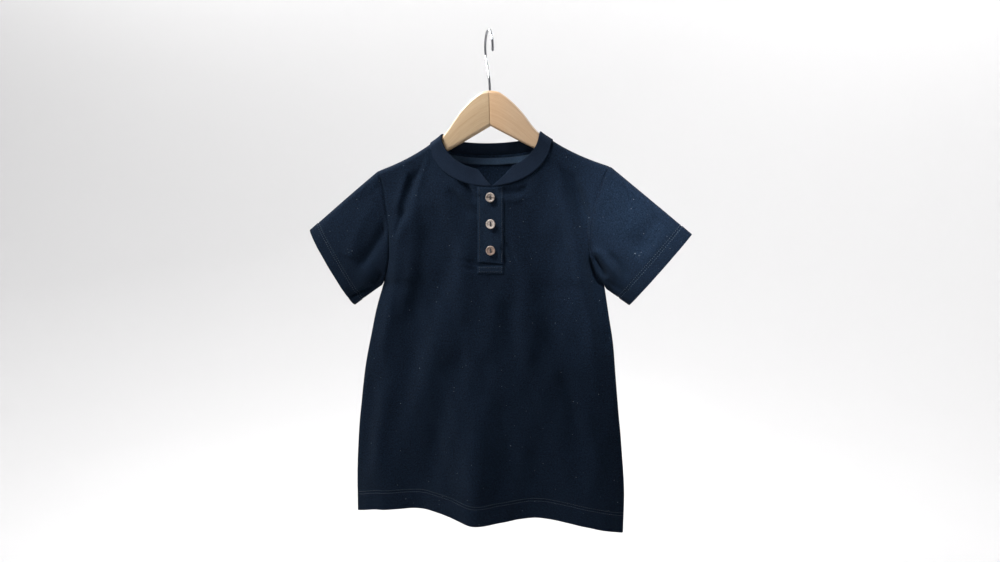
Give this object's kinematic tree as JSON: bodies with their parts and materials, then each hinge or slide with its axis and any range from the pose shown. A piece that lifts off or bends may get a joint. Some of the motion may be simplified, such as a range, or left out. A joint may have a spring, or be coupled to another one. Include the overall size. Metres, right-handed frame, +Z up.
{
  "type": "mandarin collar shirt on a wooden hanger",
  "caption": "child's short-sleeved jersey shirt with a mandarin band collar and a buttoned half placket, hanging on a wooden hanger with a wire hook",
  "frame": {"origin": "the inside top of the hook, where a rail or nail bears", "axes": "+Z up along the hanging length, +X to the viewer's right across the shoulders, the shirt's front faces -Y"},
  "size_m": [0.4694, 0.0609, 0.5997],
  "materials": {
    "jersey": "navy cotton jersey, matte",
    "rib": "navy cotton rib, matte",
    "tape": "navy neck tape",
    "button": "natural two-hole button, semi-matte",
    "wood": "light varnished wood",
    "chrome": "bright wire"
  },
  "bodies": {
    "root": {"front": "jersey", "back": "jersey", "sleeve_left": "jersey", "sleeve_right": "jersey", "collar_band": "rib", "placket_over": "jersey", "placket_under": "jersey", "neck_tape": "tape", "button_top": "button", "button_middle": "button", "button_bottom": "button", "hanger_arm_left": "wood", "hanger_arm_right": "wood", "hanger_hook": "chrome"}
  },
  "joints": []
}
